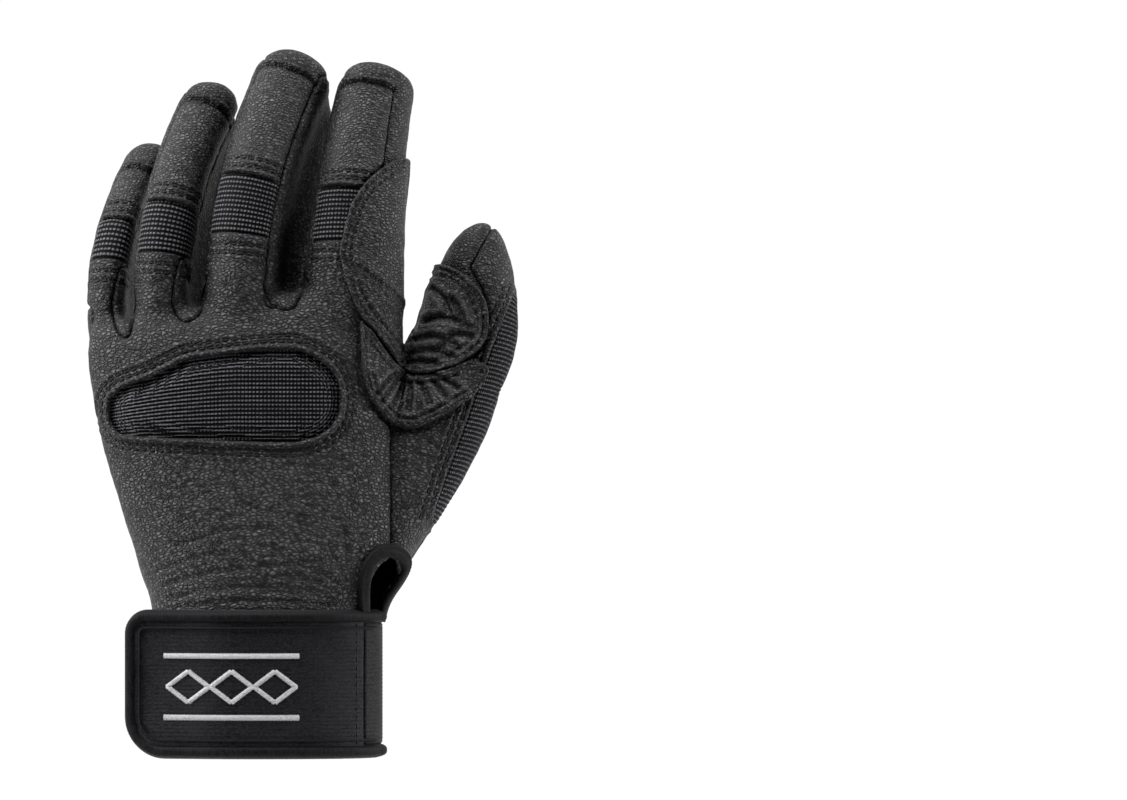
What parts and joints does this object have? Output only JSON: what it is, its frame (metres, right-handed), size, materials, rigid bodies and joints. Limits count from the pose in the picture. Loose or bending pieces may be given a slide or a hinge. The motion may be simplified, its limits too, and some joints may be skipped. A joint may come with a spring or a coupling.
{
  "type": "climbing glove",
  "caption": "Full-finger leather rope glove in its worn form, open at the cuff, with stretch cloth over the knuckles, a clip hole at the wrist and a closure strap.",
  "frame": {"origin": "middle of the open cuff, level with the strap's lower edge, where the glove is held", "axes": "+Z along the hand to the fingertips, -Y the way the back of the hand faces, +X to the thumb"},
  "size_m": [0.1441, 0.0716, 0.2367],
  "materials": {
    "leather": "satin, pebbled",
    "stretch_cloth": "ribbed, matte",
    "binding_tape": "ribbed, matte",
    "webbing": "ribbed, matte"
  },
  "bodies": {
    "root": {"finger_back_little": "leather", "finger_back_ring": "leather", "finger_back_middle": "leather", "finger_back_index": "leather", "finger_front_little": "leather", "finger_front_ring": "leather", "finger_front_middle": "leather", "finger_front_index": "leather", "strip_little_ring": "leather", "strip_ring_middle": "leather", "strip_middle_index": "leather", "thumb_front": "leather", "thumb_panel": "leather", "palm_panel": "leather", "back_panel": "leather", "index_patch": "leather", "web_patch": "leather", "thumb_patch": "leather", "finger_stretch_little": "stretch_cloth", "finger_stretch_ring": "stretch_cloth", "finger_stretch_middle": "stretch_cloth", "finger_stretch_index": "stretch_cloth", "thumb_stretch": "stretch_cloth", "knuckle_stretch": "stretch_cloth", "notch_binding": "binding_tape", "strap_binding": "binding_tape", "strap_tab": "webbing", "strap_elastic": "webbing"}
  },
  "joints": []
}
